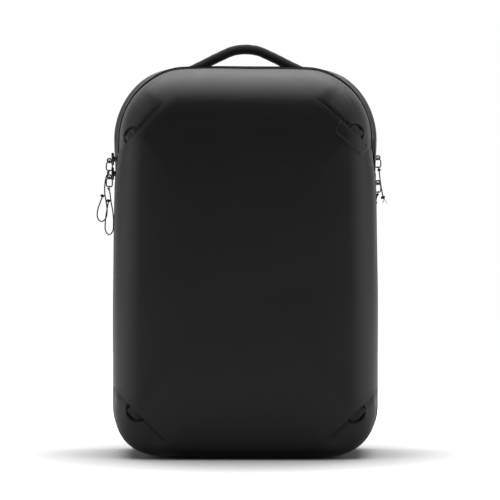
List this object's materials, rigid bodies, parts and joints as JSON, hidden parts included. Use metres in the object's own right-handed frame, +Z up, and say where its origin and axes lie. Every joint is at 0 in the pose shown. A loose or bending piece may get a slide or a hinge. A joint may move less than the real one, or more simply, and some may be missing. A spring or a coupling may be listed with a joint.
{
  "type": "travel backpack",
  "caption": "Upright clamshell travel backpack with a crowned front lid, side laptop zip, padded back, shoulder straps, sternum buckle and a top carry handle.",
  "frame": {"origin": "on the floor at the middle of the base panel", "axes": "+Z up along the height of the pack; the front lid faces -Y and the shoulder straps are at +Y; +X is to the right as seen from the front"},
  "size_m": [0.3771, 0.26, 0.5395],
  "materials": {
    "shell_fabric": "matte recycled nylon, fine plain weave",
    "coated_fabric": "coated nylon with a fine horizontal rib and a soft sheen",
    "pad_knit": "spacer knit over foam",
    "mesh_cloth": "open warp-knit mesh",
    "stiff_sheet": "matte sheet",
    "zip_tape": "woven tape with a coated face",
    "handle_weave": "round woven sleeve over foam",
    "webbing": "ribbed nylon webbing",
    "moulded_plastic": "fine moulded grain",
    "dark_metal": "black plated, satin",
    "cord_braid": "braided cord"
  },
  "bodies": {
    "bag": {"side_gusset": "shell_fabric", "back_panel": "shell_fabric", "base_panel": "coated_fabric", "frame_sheet": "stiff_sheet", "laptop_divider": "pad_knit", "document_pocket": "shell_fabric", "zip_shell_half": "zip_tape", "laptop_zip": "zip_tape", "harness_yoke": "shell_fabric", "lumbar_pad": "pad_knit", "luggage_band": "shell_fabric", "back_pad_left": "pad_knit", "back_pad_right": "pad_knit", "handle_anchor_left": "webbing", "handle_anchor_right": "webbing", "strap_wing_left": "shell_fabric", "strap_wing_right": "shell_fabric", "strap_web_left": "webbing", "strap_web_right": "webbing"},
    "lid": {"front_panel": "coated_fabric", "zip_lid_half": "zip_tape", "lid_mesh_pocket": "mesh_cloth", "blank_tab": "coated_fabric", "corner_patch_top_left": "coated_fabric", "corner_patch_top_right": "coated_fabric", "corner_patch_low_left": "coated_fabric", "corner_patch_low_right": "coated_fabric", "corner_loop_top_left": "cord_braid", "corner_loop_top_right": "cord_braid", "corner_loop_low_left": "cord_braid", "corner_loop_low_right": "cord_braid"},
    "handle": {"handle_grip": "handle_weave"},
    "strap_left": {"strap_pad_left": "pad_knit", "ladder_lock_left": "moulded_plastic"},
    "strap_right": {"strap_pad_right": "pad_knit", "ladder_lock_right": "moulded_plastic"},
    "sternum_left": {"sternum_slider_left": "moulded_plastic", "sternum_web_left": "webbing", "sternum_buckle_female": "moulded_plastic"},
    "sternum_right": {"sternum_slider_right": "moulded_plastic", "sternum_web_right": "webbing"},
    "sternum_male": {"sternum_buckle_male": "moulded_plastic"},
    "slider_left_upper": {"zip_slider_left_upper": "dark_metal"},
    "pull_left_upper": {"wire_pull_left_upper": "dark_metal", "pull_cord_left_upper": "cord_braid"},
    "slider_left_lower": {"zip_slider_left_lower": "dark_metal"},
    "pull_left_lower": {"wire_pull_left_lower": "dark_metal", "pull_cord_left_lower": "cord_braid"},
    "slider_right_upper": {"zip_slider_right_upper": "dark_metal"},
    "pull_right_upper": {"wire_pull_right_upper": "dark_metal", "pull_cord_right_upper": "cord_braid"},
    "slider_right_lower": {"zip_slider_right_lower": "dark_metal"},
    "pull_right_lower": {"wire_pull_right_lower": "dark_metal", "pull_cord_right_lower": "cord_braid"}
  },
  "joints": [
    {"name": "lid_open", "type": "hinge", "parent": "bag", "child": "lid", "pos_m": [0.1695, -0.03, 0.25], "axis": [0, 0, 1], "range_deg": [0, 150]},
    {"name": "handle_fold", "type": "hinge", "parent": "bag", "child": "handle", "pos_m": [0, 0.062, 0.489], "axis": [1, 0, 0], "range_deg": [-60, 60], "stiffness_Nm_per_rad": 0.12},
    {"name": "strap_left_swing", "type": "hinge", "parent": "bag", "child": "strap_left", "pos_m": [0, 0.085, 0.462], "axis": [1, 0, 0], "range_deg": [0, 12]},
    {"name": "strap_right_swing", "type": "hinge", "parent": "bag", "child": "strap_right", "pos_m": [0, 0.085, 0.462], "axis": [1, 0, 0], "range_deg": [0, 12]},
    {"name": "sternum_left_height", "type": "slide", "parent": "strap_left", "child": "sternum_left", "axis": [0, 0, 1], "range_m": [-0.035, 0.035]},
    {"name": "sternum_right_height", "type": "slide", "parent": "strap_right", "child": "sternum_right", "axis": [0, 0, 1], "range_m": [-0.035, 0.035]},
    {"name": "sternum_release", "type": "slide", "parent": "sternum_right", "child": "sternum_male", "axis": [1, 0, 0], "range_m": [0, 0.0195]},
    {"name": "zip_left_upper", "type": "slide", "parent": "bag", "child": "slider_left_upper", "axis": [0, 0, 1], "range_m": [0, 0.019]},
    {"name": "pull_left_upper_swing", "type": "hinge", "parent": "slider_left_upper", "child": "pull_left_upper", "pos_m": [-0.1764, -0.03, 0.381], "axis": [0, 1, 0], "range_deg": [0, 110]},
    {"name": "zip_left_lower", "type": "slide", "parent": "bag", "child": "slider_left_lower", "axis": [0, 0, -1], "range_m": [0, 0.27]},
    {"name": "pull_left_lower_swing", "type": "hinge", "parent": "slider_left_lower", "child": "pull_left_lower", "pos_m": [-0.1764, -0.03, 0.36], "axis": [0, 1, 0], "range_deg": [0, 110]},
    {"name": "zip_right_upper", "type": "slide", "parent": "bag", "child": "slider_right_upper", "axis": [0, 0, 1], "range_m": [0, 0.011]},
    {"name": "pull_right_upper_swing", "type": "hinge", "parent": "slider_right_upper", "child": "pull_right_upper", "pos_m": [0.1764, 0.053, 0.388], "axis": [0, -1, 0], "range_deg": [0, 110]},
    {"name": "zip_right_lower", "type": "slide", "parent": "bag", "child": "slider_right_lower", "axis": [0, 0, -1], "range_m": [0, 0.25]},
    {"name": "pull_right_lower_swing", "type": "hinge", "parent": "slider_right_lower", "child": "pull_right_lower", "pos_m": [0.1764, 0.053, 0.355], "axis": [0, -1, 0], "range_deg": [0, 110]}
  ],
  "couplings": [
    {"joint": "strap_right_swing", "follows": "strap_left_swing", "ratio": 1},
    {"joint": "sternum_right_height", "follows": "sternum_left_height", "ratio": 1}
  ]
}
